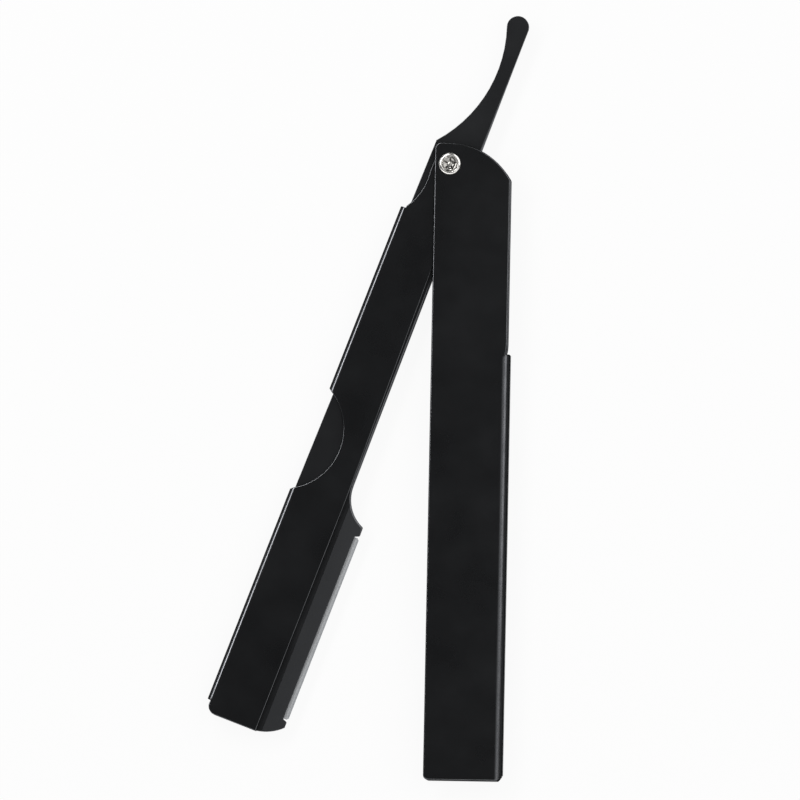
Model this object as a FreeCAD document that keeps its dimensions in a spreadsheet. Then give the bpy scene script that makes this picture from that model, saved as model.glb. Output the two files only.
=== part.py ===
import FreeCAD, Part
import math
import operator
import os
import types

import Sketcher

# Replaceable blade straight razor, lying flat and partly open.
# Millimetres. The pivot's axis is the Z axis, and the handle's flat back lies on the plane Z = 0.
# The handle runs from the pivot towards -Y, with its open side towards -X and its folded spine towards +X.
# The arm is drawn in line with the handle, as when the razor is shut, and then turned open about the pivot.

# Driving dimensions. Along: distance from the pivot down the handle or the arm.
# Side: distance from the pivot across it.
DIMENSIONS = {
    # Half blade, which sets the length of the lip, the sleeve and the handle beyond it
    "blade_length": 43.0,
    "blade_width": 11.0,
    "blade_thickness": 0.1,
    "blade_start": 84.36,
    "blade_back_side": 0.46,
    "blade_gap": 0.02,
    "blade_side_gap": 0.05,
    "blade_hone": 0.8,
    "blade_edge_thickness": 0.02,
    "blade_corner": 0.4,
    "blade_slot_half": 0.7,
    "blade_slot_length": 30.0,
    "blade_notch_radius": 2.2,
    "blade_notch_spacing": 15.0,
    # Handle: one steel sheet folded into a channel
    "handle_sheet": 1.0,
    "handle_open_side": 3.35,
    "handle_spine_side": 14.1,
    "handle_bend_radius": 1.8,
    "handle_head": 4.7,
    "foot_beyond_toe": 3.93,
    "head_corner_radius": 1.4,
    "foot_corner_radius": 1.1,
    "shoulder_side": 0.3,
    "shoulder_radius": 15.8,
    "shoulder_corner_radius": 1.0,
    "trimmed_side": 13.38,
    "spine_start": 41.9,
    "spine_setback": 1.1,
    "foot_taper": 0.2,
    "relief_depth": 0.25,
    "relief_length": 2.5,
    # Arm: how far it stands open, and the stack of sheets that it is made of
    "rest_opening_angle": 20.36,
    "washer_thickness": 0.2,
    "washer_radius": 3.2,
    "running_gap": 0.05,
    "leaf_gap": 0.1,
    # Sleeve: a thinner sheet folded over the leaves
    "sleeve_sheet": 0.7,
    "sleeve_spine_side": 6.82,
    "sleeve_bend_radius": 1.2,
    "sleeve_end_side": 3.6,
    "sleeve_edge_at_pivot": 4.32,
    "sleeve_edge_at_toe": 5.75,
    "sleeve_taper_before_blade": 6.9,
    "sleeve_fold_setback": 2.75,
    "toe_corner_radius": 2.1,
    "toe_corner_inset": 0.75,
    "thumb_notch_radius": 13.3,
    "thumb_notch_along": 67.7,
    "thumb_notch_side": 13.03,
    "pivot_notch_radius": 13.0,
    "pivot_notch_along": 4.9,
    "pivot_notch_side": 16.47,
    "fold_relief": 0.45,
    # Tang plate: front leaf with the thumb rest at one end and the lip at the other
    "tang_sheet": 1.2,
    "tang_spine_gap": 0.26,
    "tang_shoulder": 3.9,
    "tail_tip_side": 2.79,
    "tail_tip_along": 33.7,
    "tail_tip_radius": 2.44,
    "thumb_curve_side": 27.2,
    "thumb_curve_along": 23.0,
    "heel_side": 6.08,
    "heel_before_blade": 10.4,
    "heel_radius": 8.4,
    "nub_inset": 0.1,
    "nub_round": 0.5,
    "nub_step": 0.4,
    "nub_corner_radius": 0.35,
    "lip_end_gap": 0.1,
    "lip_reveal": 1.1,
    "toe_beyond_blade": 4.8,
    "toe_arc_reach": 7.11,
    "toe_arc_radius": 10.0,
    "tang_corner_radius": 2.4,
    "lip_band": 1.25,
    "lip_fall": 0.5,
    # Clamp leaf: thinner rear jaw
    "clamp_sheet": 0.6,
    "clamp_setback": 0.35,
    "clamp_end_radius": 4.0,
    "clamp_fall": 0.3,
    # Pivot rivet and the bright ring it is clinched into
    "shank_radius": 1.5,
    "seat_gap": 0.02,
    "rivet_head_radius": 2.5,
    "rivet_head_rim": 0.1,
    "rivet_head_depth": 0.8,
    "flare_radius": 1.68,
    "flare_height": 0.36,
    "petal_radius": 1.28,
    "petal_height": 0.42,
    "dish_radius": 0.75,
    "dish_depth": 0.6,
    "slit_width": 0.22,
    "slit_depth": 0.1,
    "ring_radius": 2.41,
    "ring_height": 0.52,
    "ring_round": 0.25,
    "ring_bore_top": 1.82,
    # Small rivets that join the two leaves
    "leaf_rivet_radius": 0.9,
    "leaf_rivet_head": 1.4,
    "leaf_rivet_sink": 0.3,
    "leaf_rivet_along": 12.0,
    "leaf_rivet_spacing": 12.0,
    "leaf_rivet_side": 0.3,
    # How far a cut runs past the metal
    "overrun": 2.0,
}
PETALS = 6

doc = FreeCAD.newDocument("straight_razor")
sheet = doc.addObject("Spreadsheet::Sheet", "Dimensions")
for row, (alias, number) in enumerate(DIMENSIONS.items(), start=1):
    sheet.set(f"A{row}", alias.replace("_", " "))
    sheet.set(f"B{row}", str(number))
    sheet.setAlias(f"B{row}", alias)
doc.recompute()


class Size:
    """A length worked out from the sheet: its number now, and the formula that keeps it tied."""

    def __init__(self, value, formula):
        self.value = value
        self.formula = formula

    def __add__(self, other):
        return combine(self, "+", other)

    def __radd__(self, other):
        return combine(other, "+", self)

    def __sub__(self, other):
        return combine(self, "-", other)

    def __rsub__(self, other):
        return combine(other, "-", self)

    def __mul__(self, other):
        return combine(self, "*", other)

    def __rmul__(self, other):
        return combine(other, "*", self)

    def __truediv__(self, other):
        return combine(self, "/", other)

    def __neg__(self):
        return combine(0, "-", self)


OPERATIONS = {"+": operator.add, "-": operator.sub, "*": operator.mul, "/": operator.truediv}


def combine(left, sign, right):
    """Join two sizes, or a size and a number, by one sign."""
    left = left if isinstance(left, Size) else Size(left, str(left))
    right = right if isinstance(right, Size) else Size(right, str(right))
    value = OPERATIONS[sign](left.value, right.value)
    return Size(value, f"({left.formula} {sign} {right.formula})")


def root(size):
    """Square root of a size."""
    return Size(math.sqrt(size.value), f"sqrt({size.formula})")


def leg(long_side, short_side):
    """Third side of a right-angled triangle."""
    return root(long_side * long_side - short_side * short_side)


zero = Size(0, "0")
d = types.SimpleNamespace(
    **{alias: Size(number, f"Dimensions.{alias}") for alias, number in DIMENSIONS.items()}
)

# Heights of the stack, from the back of the handle to its front
sleeve_depth = d.sleeve_sheet * 2 + d.leaf_gap * 2 + d.clamp_sheet + d.tang_sheet
handle_depth = d.handle_sheet * 2 + d.washer_thickness * 2 + d.running_gap * 2 + sleeve_depth
rear_washer_base = d.handle_sheet
sleeve_base = rear_washer_base + d.washer_thickness + d.running_gap
clamp_base = sleeve_base + d.sleeve_sheet + d.leaf_gap
tang_base = clamp_base + d.clamp_sheet
tang_top = tang_base + d.tang_sheet
sleeve_top = sleeve_base + sleeve_depth
front_washer_base = sleeve_top + d.running_gap
front_plate_base = handle_depth - d.handle_sheet
running_radius = d.shank_radius + d.running_gap

# Places along and across the arm that follow from the blade, and the foot of the handle beyond them
blade_stop = d.blade_start + d.blade_length
blade_edge_side = d.blade_back_side + d.blade_width
lip_start = d.blade_start - d.lip_end_gap
lip_stop = blade_stop + d.lip_end_gap
heel_start = d.blade_start - d.heel_before_blade
toe_along = blade_stop + d.toe_beyond_blade
taper_along = d.blade_start - d.sleeve_taper_before_blade
fold_stop = toe_along - d.sleeve_fold_setback
lip_side = blade_edge_side - d.lip_reveal
nub_side = blade_edge_side - d.nub_inset
lip_root_side = d.sleeve_edge_at_toe + d.lip_band
toe_arc_side = nub_side - d.toe_arc_reach
handle_foot = toe_along + d.foot_beyond_toe


# Sketches

def line_to(x, y):
    """Straight side that ends at a corner."""
    return types.SimpleNamespace(x=x, y=y, radius=None, turn=0)


def left_turn(x, y, radius):
    """Arc that ends at a corner and bends to the left on the way."""
    return types.SimpleNamespace(x=x, y=y, radius=radius, turn=1)


def right_turn(x, y, radius):
    """Arc that ends at a corner and bends to the right on the way."""
    return types.SimpleNamespace(x=x, y=y, radius=radius, turn=-1)


def corner(step):
    return FreeCAD.Vector(step.x.value, step.y.value, 0)


def arc_between(start, end, radius, turn):
    """Arc of less than half a circle from start to end, always stored anticlockwise."""
    chord = end - start
    aside = FreeCAD.Vector(-chord.y, chord.x, 0)
    aside.normalize()
    rise = math.sqrt(radius ** 2 - (chord.Length / 2) ** 2)
    centre = (start + end) * 0.5 + aside * (rise * turn)
    first, last = (start, end) if turn > 0 else (end, start)
    first_angle = math.atan2(first.y - centre.y, first.x - centre.x)
    last_angle = math.atan2(last.y - centre.y, last.x - centre.x)
    circle = Part.Circle(centre, FreeCAD.Vector(0, 0, 1), radius)
    return Part.ArcOfCircle(circle, first_angle, last_angle)


def tie(sketch, constraint, size):
    """Add a constraint and bind it to the sheet."""
    index = sketch.addConstraint(constraint)
    sketch.setExpression(f"Constraints[{index}]", size.formula)


def pin(sketch, geometry, point, x, y):
    """Hold a corner or a centre at its place from the origin."""
    for kind, place, axis in (("DistanceX", x, -2), ("DistanceY", y, -1)):
        if place is zero:
            sketch.addConstraint(Sketcher.Constraint("PointOnObject", geometry, point, axis))
        else:
            tie(sketch, Sketcher.Constraint(kind, -1, 1, geometry, point, place.value), place)


def new_sketch(body, name, role, lift=None):
    """Sketch on one of the body's own planes, lifted along the plane's normal."""
    plane = [item for item in body.Origin.OriginFeatures if item.Role == role][0]
    sketch = body.newObject("Sketcher::SketchObject", name)
    sketch.AttachmentSupport = [(plane, "")]
    sketch.MapMode = "FlatFace"
    if lift is not None:
        sketch.setExpression(".AttachmentOffset.Base.z", lift.formula)
    return sketch


def outline_sketch(body, name, role, steps, lift=None):
    """Closed outline. Each step ends one side, and the first side starts where the last ends."""
    sketch = new_sketch(body, name, role, lift)
    sides = []
    for previous, step in zip(steps[-1:] + steps[:-1], steps):
        if step.radius is None:
            shape = Part.LineSegment(corner(previous), corner(step))
            sides.append((sketch.addGeometry(shape, False), 1, 2))
        else:
            shape = arc_between(corner(previous), corner(step), step.radius.value, step.turn)
            start, end = (1, 2) if step.turn > 0 else (2, 1)
            sides.append((sketch.addGeometry(shape, False), start, end))
    for (this, _, end), (following, start, _) in zip(sides, sides[1:] + sides[:1]):
        sketch.addConstraint(Sketcher.Constraint("Coincident", this, end, following, start))
    for (side, _, end), step in zip(sides, steps):
        pin(sketch, side, end, step.x, step.y)
        if step.radius is not None:
            tie(sketch, Sketcher.Constraint("Radius", side, step.radius.value), step.radius)
    return sketch


def circles_sketch(body, name, centres, radius, lift=None):
    """Circles of one radius on the body's ground plane."""
    sketch = new_sketch(body, name, "XY_Plane", lift)
    for x, y in centres:
        centre = FreeCAD.Vector(x.value, y.value, 0)
        circle = Part.Circle(centre, FreeCAD.Vector(0, 0, 1), radius.value)
        index = sketch.addGeometry(circle, False)
        pin(sketch, index, 3, x, y)
        tie(sketch, Sketcher.Constraint("Radius", index, radius.value), radius)
    return sketch


# Features

def new_body(label):
    body = doc.addObject("PartDesign::Body", label)
    body.Label = label
    return body


def turn_with_arm(piece):
    """Open the arm's piece about the pivot, clockwise from the shut position."""
    piece.Placement = FreeCAD.Placement(
        FreeCAD.Vector(0, 0, 0),
        FreeCAD.Rotation(FreeCAD.Vector(0, 0, -1), d.rest_opening_angle.value),
    )
    piece.setExpression(".Placement.Rotation.Angle", d.rest_opening_angle.formula)


def pad(body, name, sketch, length):
    """Extrude a sketch along its plane's normal."""
    feature = body.newObject("PartDesign::Pad", name)
    feature.Profile = sketch
    feature.setExpression("Length", length.formula)
    doc.recompute()
    return feature


def cut(body, name, kind, sketch, settings, bindings):
    """Remove material by a pocket or groove, and check that some went."""
    before = body.Shape.Volume
    feature = body.newObject(kind, name)
    feature.Profile = sketch
    for key, value in settings.items():
        setattr(feature, key, value)
    for key, size in bindings.items():
        feature.setExpression(key, size.formula)
    doc.recompute()
    if not body.Shape.Volume < before:
        raise RuntimeError(f"{name} removes nothing")
    return feature


def pocket_through(body, name, sketch):
    """Cut right through the body, both ways from the sketch."""
    reach = {"Length": (handle_depth + d.overrun) * 2}
    return cut(body, name, "PartDesign::Pocket", sketch, {"SideType": "Symmetric"}, reach)


def pocket_along(body, name, sketch, length):
    """Cut from the sketch along its plane's normal."""
    return cut(body, name, "PartDesign::Pocket", sketch, {"Reversed": True}, {"Length": length})


def revolve(body, name, sketch):
    """Turn a sketch about the pivot's axis."""
    feature = body.newObject("PartDesign::Revolution", name)
    feature.Profile = sketch
    feature.ReferenceAxis = (sketch, ["V_Axis"])
    feature.Angle = 360
    doc.recompute()
    return feature


def fold_section(side, bend, sheet_size, depth):
    """Section of a folded spine: two bends joined by a wall, for a spine towards +X."""
    inner = bend - sheet_size
    flat_end = side - bend
    return [
        line_to(flat_end, zero),
        left_turn(side, bend, bend),
        line_to(side, depth - bend),
        left_turn(flat_end, depth, bend),
        line_to(flat_end, depth - sheet_size),
        right_turn(side - sheet_size, depth - bend, inner),
        line_to(side - sheet_size, bend),
        right_turn(flat_end, sheet_size, inner),
    ]


# Handle: a rear and a front plate with one outline, joined by the folded spine

def handle_outline():
    left = -d.handle_open_side
    foot = -handle_foot
    spine_stop = foot + d.spine_setback
    flat_end = d.handle_spine_side - d.handle_bend_radius
    relief_chord = d.relief_depth * d.relief_depth + d.relief_length * d.relief_length
    relief_radius = relief_chord / (d.relief_depth * 2)
    # The shoulder is an arc from the head's flat top, eased into the trimmed side by a small corner arc
    centre_x = -d.shoulder_side
    centre_y = d.handle_head - d.shoulder_radius
    inner = d.shoulder_radius - d.shoulder_corner_radius
    corner_x = d.trimmed_side - d.shoulder_corner_radius
    corner_y = centre_y + leg(inner, corner_x - centre_x)
    share = d.shoulder_radius / inner
    return [
        line_to(left, foot + d.foot_corner_radius),
        left_turn(left + d.foot_corner_radius, foot, d.foot_corner_radius),
        line_to(d.trimmed_side - d.foot_taper, foot),
        line_to(d.trimmed_side, spine_stop),
        line_to(flat_end, spine_stop),
        line_to(flat_end, -d.spine_start),
        line_to(d.trimmed_side - d.relief_depth, -d.spine_start),
        left_turn(d.trimmed_side, d.relief_length - d.spine_start, relief_radius),
        line_to(d.trimmed_side, corner_y),
        left_turn(
            centre_x + (corner_x - centre_x) * share,
            centre_y + (corner_y - centre_y) * share,
            d.shoulder_corner_radius,
        ),
        left_turn(centre_x, d.handle_head, d.shoulder_radius),
        line_to(left + d.head_corner_radius, d.handle_head),
        left_turn(left, d.handle_head - d.head_corner_radius, d.head_corner_radius),
    ]


handle = new_body("handle_channel")
rear_sketch = outline_sketch(handle, "rear_outline", "XY_Plane", handle_outline())
pad(handle, "rear_plate", rear_sketch, d.handle_sheet)
spine_profile = fold_section(d.handle_spine_side, d.handle_bend_radius, d.handle_sheet, handle_depth)
spine_sketch = outline_sketch(handle, "spine_profile", "XZ_Plane", spine_profile, d.spine_start)
pad(handle, "spine", spine_sketch, handle_foot - d.spine_setback - d.spine_start)
front_sketch = outline_sketch(handle, "front_outline", "XY_Plane", handle_outline(), front_plate_base)
pad(handle, "front_plate", front_sketch, d.handle_sheet)


def rivet_seat():
    """Half section of the countersunk hole through both plates."""
    head = d.rivet_head_radius + d.seat_gap
    shank = d.shank_radius + d.seat_gap
    return [
        line_to(zero, -d.overrun),
        line_to(head, -d.overrun),
        line_to(head, d.rivet_head_rim),
        line_to(shank, d.rivet_head_depth),
        line_to(shank, handle_depth + d.overrun),
        line_to(zero, handle_depth + d.overrun),
    ]


seat_sketch = outline_sketch(handle, "rivet_seat_profile", "XZ_Plane", rivet_seat())
cut(
    handle,
    "rivet_seat",
    "PartDesign::Groove",
    seat_sketch,
    {"ReferenceAxis": (seat_sketch, ["V_Axis"]), "Angle": 360},
    {},
)

# Washers between the handle's plates and the sleeve


def washer(label, base):
    body = new_body(label)
    rim = circles_sketch(body, f"{label}_rim", [(zero, zero)], d.washer_radius, base)
    pad(body, f"{label}_disc", rim, d.washer_thickness)
    hole = circles_sketch(body, f"{label}_hole", [(zero, zero)], running_radius, base)
    pocket_through(body, f"{label}_bore", hole)
    return body


rear_washer = washer("rear_washer", rear_washer_base)
front_washer = washer("front_washer", front_washer_base)


# Sleeve: two plates of one outline, joined by a fold towards -X.
# A round cut clears the pivot, where the fold begins square, and another lets the thumb reach the tang.

plate_notch_end = d.pivot_notch_along + leg(
    d.pivot_notch_radius, d.pivot_notch_side - d.sleeve_spine_side + d.sleeve_bend_radius
)
fold_start = plate_notch_end + d.fold_relief


def sleeve_outline():
    flat_end = d.sleeve_bend_radius - d.sleeve_spine_side
    notch_top = leg(d.pivot_notch_radius, d.pivot_notch_side - d.sleeve_end_side)
    end_radius = (d.sleeve_end_side + d.sleeve_edge_at_pivot) / 2
    end_centre = (d.sleeve_edge_at_pivot - d.sleeve_end_side) / 2
    toe_left = d.toe_corner_inset - d.sleeve_spine_side
    return [
        line_to(flat_end, -fold_stop),
        line_to(toe_left, -fold_stop),
        line_to(toe_left, d.toe_corner_radius - toe_along),
        left_turn(toe_left + d.toe_corner_radius, -toe_along, d.toe_corner_radius),
        line_to(d.sleeve_edge_at_toe, -toe_along),
        line_to(d.sleeve_edge_at_toe, -taper_along),
        line_to(d.sleeve_edge_at_pivot, zero),
        left_turn(end_centre, end_radius, end_radius),
        left_turn(-d.sleeve_end_side, zero, end_radius),
        line_to(-d.sleeve_end_side, notch_top - d.pivot_notch_along),
        right_turn(flat_end, -plate_notch_end, d.pivot_notch_radius),
    ]


def sleeve_fold_profile():
    """The spine's section turned to face -X, so its bends run the other way."""
    steps = fold_section(d.sleeve_spine_side, d.sleeve_bend_radius, d.sleeve_sheet, sleeve_depth)
    mirrored = [
        types.SimpleNamespace(
            x=-step.x,
            y=step.y + sleeve_base,
            radius=following.radius,
            turn=following.turn,
        )
        for following, step in zip(steps[1:] + steps[:1], steps)
    ]
    return mirrored[::-1]


sleeve = new_body("blade_sleeve")
rear_sketch = outline_sketch(sleeve, "sleeve_rear_outline", "XY_Plane", sleeve_outline(), sleeve_base)
pad(sleeve, "sleeve_rear_plate", rear_sketch, d.sleeve_sheet)
fold_sketch = outline_sketch(sleeve, "sleeve_fold_profile", "XZ_Plane", sleeve_fold_profile(), fold_start)
pad(sleeve, "sleeve_fold", fold_sketch, fold_stop - fold_start)
front_sketch = outline_sketch(
    sleeve, "sleeve_front_outline", "XY_Plane", sleeve_outline(), sleeve_top - d.sleeve_sheet
)
pad(sleeve, "sleeve_front_plate", front_sketch, d.sleeve_sheet)
notch_centre = (-d.thumb_notch_side, -d.thumb_notch_along)
notch_sketch = circles_sketch(sleeve, "thumb_notch_circle", [notch_centre], d.thumb_notch_radius)
pocket_through(sleeve, "thumb_notch", notch_sketch)
bore_sketch = circles_sketch(sleeve, "sleeve_hole", [(zero, zero)], running_radius)
pocket_through(sleeve, "sleeve_bore", bore_sketch)
turn_with_arm(sleeve)


# Tang plate: thumb rest, arm and lip in one flat outline

leaf_rivet_places = [
    (d.leaf_rivet_side, -d.leaf_rivet_along),
    (d.leaf_rivet_side, -(d.leaf_rivet_along + d.leaf_rivet_spacing)),
]
tang_left = d.tang_spine_gap + d.sleeve_sheet - d.sleeve_spine_side
heel_centre_x = d.heel_side + d.heel_radius


def tang_outline():
    # The thumb rest's hollow is an arc that runs smoothly into the round tip
    across = d.tail_tip_side + d.thumb_curve_side
    along = d.tail_tip_along - d.thumb_curve_along
    hollow_radius = root(across * across + along * along) - d.tail_tip_radius
    share = hollow_radius / (hollow_radius + d.tail_tip_radius)
    shoulder_x = leg(hollow_radius, d.thumb_curve_along - d.tang_shoulder) - d.thumb_curve_side
    # The nub beside the heel is rounded into the heel's hollow
    nub_x = nub_side - d.nub_round
    reach = d.heel_radius + d.nub_round
    nub_y = -heel_start - leg(reach, heel_centre_x - nub_x)
    heel_share = d.heel_radius / reach
    toe_arc_rise = leg(d.toe_arc_radius, nub_side - toe_arc_side)
    # A corner arc of each nub cuts this much off its straight and its sloping side
    stand = nub_side - lip_side
    slant = root(stand * stand + d.nub_step * d.nub_step)
    trim = d.nub_corner_radius * (slant - d.nub_step) / stand
    trim_x = trim * stand / slant
    trim_y = trim * d.nub_step / slant
    return [
        line_to(tang_left, d.tang_corner_radius - toe_along),
        left_turn(tang_left + d.tang_corner_radius, -toe_along, d.tang_corner_radius),
        line_to(toe_arc_side, -toe_along),
        left_turn(nub_side, d.toe_arc_radius - toe_along - toe_arc_rise, d.toe_arc_radius),
        line_to(nub_side, -(lip_stop + d.nub_step + trim)),
        left_turn(nub_side - trim_x, trim_y - d.nub_step - lip_stop, d.nub_corner_radius),
        line_to(lip_side, -lip_stop),
        line_to(lip_side, -lip_start),
        line_to(nub_side - trim_x, d.nub_step - trim_y - lip_start),
        left_turn(nub_side, d.nub_step + trim - lip_start, d.nub_corner_radius),
        line_to(nub_side, nub_y),
        left_turn(
            heel_centre_x + (nub_x - heel_centre_x) * heel_share,
            (nub_y + heel_start) * heel_share - heel_start,
            d.nub_round,
        ),
        right_turn(d.heel_side, -heel_start, d.heel_radius),
        line_to(d.tail_tip_side + d.tail_tip_radius, d.tail_tip_along),
        left_turn(d.tail_tip_side, d.tail_tip_along + d.tail_tip_radius, d.tail_tip_radius),
        left_turn(
            across * share - d.thumb_curve_side,
            along * share + d.thumb_curve_along,
            d.tail_tip_radius,
        ),
        right_turn(shoulder_x, d.tang_shoulder, hollow_radius),
        line_to(tang_left, -taper_along),
    ]


def lip_cut(face, fall, beyond):
    """Section of the wedge taken off a leaf outside the sleeve. Beyond is where the cut ends in height."""
    far_x = nub_side + d.overrun
    slope = fall / (lip_side - lip_root_side)
    return [
        line_to(lip_root_side, face),
        line_to(far_x, face + slope * (far_x - lip_root_side)),
        line_to(far_x, beyond),
        line_to(lip_root_side, beyond),
    ]


def blade_seat():
    """Section of the shallow seat under the lip, open at the edge side."""
    back = d.blade_back_side - d.blade_side_gap
    top = tang_base + d.blade_thickness + d.blade_gap * 2
    return [
        line_to(back, tang_base - d.overrun),
        line_to(nub_side + d.overrun, tang_base - d.overrun),
        line_to(nub_side + d.overrun, top),
        line_to(back, top),
    ]


tang = new_body("tang_plate")
blank_sketch = outline_sketch(tang, "tang_outline", "XY_Plane", tang_outline(), tang_base)
pad(tang, "tang_blank", blank_sketch, d.tang_sheet)
lip_length = toe_along - heel_start + d.overrun
front_lip = lip_cut(tang_top, -d.lip_fall, tang_top + d.overrun)
lip_sketch = outline_sketch(tang, "front_lip_profile", "XZ_Plane", front_lip, heel_start)
pocket_along(tang, "front_lip", lip_sketch, lip_length)
seat_start = d.blade_start - d.blade_side_gap
seat_sketch = outline_sketch(tang, "blade_seat_profile", "XZ_Plane", blade_seat(), seat_start)
pocket_along(tang, "blade_seat", seat_sketch, toe_along - seat_start + d.overrun)
bore_sketch = circles_sketch(tang, "tang_hole", [(zero, zero)], running_radius)
pocket_through(tang, "tang_bore", bore_sketch)


def countersink(body, name, base, top, face_inward):
    """Countersunk holes for the leaf rivets, one groove each, in a leaf between two heights."""
    head = d.leaf_rivet_head + d.seat_gap
    shank = d.leaf_rivet_radius + d.seat_gap
    face = top if face_inward > 0 else base
    sunk = face - d.leaf_rivet_sink * face_inward
    hole_sketch = circles_sketch(body, f"{name}_circles", leaf_rivet_places, shank)
    pocket_through(body, f"{name}_holes", hole_sketch)
    for number, (x, y) in enumerate(leaf_rivet_places, start=1):
        profile = [
            line_to(x, sunk),
            line_to(x + shank, sunk),
            line_to(x + head, face),
            line_to(x + head, face + d.overrun * face_inward),
            line_to(x, face + d.overrun * face_inward),
        ]
        sketch = outline_sketch(body, f"{name}_sink_profile_{number}", "XZ_Plane", profile, -y)
        settings = {"ReferenceAxis": (sketch, ["Edge1"]), "Angle": 360}
        cut(body, f"{name}_sink_{number}", "PartDesign::Groove", sketch, settings, {})


countersink(tang, "tang_rivet", tang_base, tang_top, 1)
turn_with_arm(tang)


# Clamp leaf: the rear jaw, a little smaller all round than the lip in front of it

def clamp_outline():
    lip = lip_side - d.clamp_setback
    toe = d.clamp_setback - toe_along
    toe_radius = d.toe_arc_radius - d.clamp_setback
    toe_arc_rise = leg(toe_radius, lip - toe_arc_side)
    heel_radius = d.heel_radius + d.clamp_setback
    left = tang_left + d.clamp_setback
    return [
        line_to(left, toe + d.tang_corner_radius),
        left_turn(left + d.tang_corner_radius, toe, d.tang_corner_radius),
        line_to(toe_arc_side, toe),
        left_turn(lip, toe + toe_radius - toe_arc_rise, toe_radius),
        line_to(lip, -heel_start - leg(heel_radius, heel_centre_x - lip)),
        right_turn(d.heel_side - d.clamp_setback, -heel_start, heel_radius),
        line_to(d.clamp_end_radius, zero),
        left_turn(zero, d.clamp_end_radius, d.clamp_end_radius),
        left_turn(-d.clamp_end_radius, zero, d.clamp_end_radius),
        line_to(left, -taper_along),
    ]


clamp = new_body("clamp_leaf")
blank_sketch = outline_sketch(clamp, "clamp_outline", "XY_Plane", clamp_outline(), clamp_base)
pad(clamp, "clamp_blank", blank_sketch, d.clamp_sheet)
rear_lip = lip_cut(clamp_base, d.clamp_fall, clamp_base - d.overrun)
lip_sketch = outline_sketch(clamp, "rear_lip_profile", "XZ_Plane", rear_lip, heel_start)
pocket_along(clamp, "rear_lip", lip_sketch, lip_length)
bore_sketch = circles_sketch(clamp, "clamp_hole", [(zero, zero)], running_radius)
pocket_through(clamp, "clamp_bore", bore_sketch)
countersink(clamp, "clamp_rivet", clamp_base, tang_base, -1)
turn_with_arm(clamp)

# Leaf rivets: two small flush rivets through both leaves


def leaf_rivet(number, x, y):
    """Shank with a countersunk head at each end."""
    shank = doc.addObject("Part::Cylinder", f"leaf_shank_{number}")
    shank.setExpression("Radius", d.leaf_rivet_radius.formula)
    shank.setExpression("Height", (tang_top - clamp_base).formula)
    shank.setExpression(".Placement.Base.z", clamp_base.formula)
    rear = doc.addObject("Part::Cone", f"leaf_rear_head_{number}")
    rear.setExpression("Radius1", d.leaf_rivet_head.formula)
    rear.setExpression("Radius2", d.leaf_rivet_radius.formula)
    rear.setExpression(".Placement.Base.z", clamp_base.formula)
    front = doc.addObject("Part::Cone", f"leaf_front_head_{number}")
    front.setExpression("Radius1", d.leaf_rivet_radius.formula)
    front.setExpression("Radius2", d.leaf_rivet_head.formula)
    front.setExpression(".Placement.Base.z", (tang_top - d.leaf_rivet_sink).formula)
    for piece in (shank, rear, front):
        piece.setExpression(".Placement.Base.x", x.formula)
        piece.setExpression(".Placement.Base.y", y.formula)
    for head in (rear, front):
        head.setExpression("Height", d.leaf_rivet_sink.formula)
    rivet = doc.addObject("Part::MultiFuse", f"leaf_rivet_{number}")
    rivet.Shapes = [shank, rear, front]
    return rivet


leaf_rivets = doc.addObject("Part::Compound", "leaf_rivets")
leaf_rivets.Label = "leaf_rivets"
leaf_rivets.Links = [
    leaf_rivet(number, x, y) for number, (x, y) in enumerate(leaf_rivet_places, start=1)
]
turn_with_arm(leaf_rivets)


# Blade: half of a double-edged blade, with half of its slot and holes along the back

def blade_outline():
    back = d.blade_back_side
    edge = blade_edge_side
    start = -d.blade_start
    stop = -blade_stop
    middle = start - d.blade_length / 2
    slot = d.blade_slot_length / 2
    return [
        line_to(back, stop),
        line_to(edge - d.blade_corner, stop),
        line_to(edge, stop + d.blade_corner),
        line_to(edge, start - d.blade_corner),
        line_to(edge - d.blade_corner, start),
        line_to(back, start),
        line_to(back, middle + slot),
        line_to(back + d.blade_slot_half, middle + slot),
        line_to(back + d.blade_slot_half, middle - slot),
        line_to(back, middle - slot),
    ]


def hone(base, inward):
    """Section of the ground wedge on one face of the edge."""
    edge = blade_edge_side
    start = edge - d.blade_hone
    fall = (d.blade_thickness - d.blade_edge_thickness) / 2 * inward
    return [
        line_to(start, base),
        line_to(edge, base + fall),
        line_to(edge + d.overrun, base + fall),
        line_to(edge + d.overrun, base - d.overrun * inward),
        line_to(start, base - d.overrun * inward),
    ]


blade = new_body("razor_blade")
blade_base = tang_base + d.blade_gap
blade_sketch = outline_sketch(blade, "blade_outline", "XY_Plane", blade_outline(), blade_base)
pad(blade, "blade_strip", blade_sketch, d.blade_thickness)
blade_middle = -d.blade_start - d.blade_length / 2
hole_centres = [
    (d.blade_back_side, blade_middle + d.blade_notch_spacing * place) for place in (-1, 0, 1)
]
pocket_through(
    blade, "blade_notches", circles_sketch(blade, "blade_notch_circles", hole_centres, d.blade_notch_radius)
)
for name, base, inward in (
    ("rear_hone", blade_base, 1),
    ("front_hone", blade_base + d.blade_thickness, -1),
):
    hone_sketch = outline_sketch(
        blade, f"{name}_profile", "XZ_Plane", hone(base, inward), d.blade_start - d.overrun
    )
    pocket_along(blade, name, hone_sketch, d.blade_length + d.overrun * 2)
turn_with_arm(blade)


# Pivot rivet: flat head sunk flush in the handle's back, tubular end split into petals at the front

def rivet_profile():
    top = handle_depth
    return [
        line_to(zero, zero),
        line_to(d.rivet_head_radius, zero),
        line_to(d.rivet_head_radius, d.rivet_head_rim),
        line_to(d.shank_radius, d.rivet_head_depth),
        line_to(d.shank_radius, top),
        line_to(d.flare_radius, top + d.flare_height),
        line_to(d.petal_radius, top + d.petal_height),
        line_to(d.dish_radius, top),
        line_to(d.dish_radius, top - d.dish_depth),
        line_to(zero, top - d.dish_depth),
    ]


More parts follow.
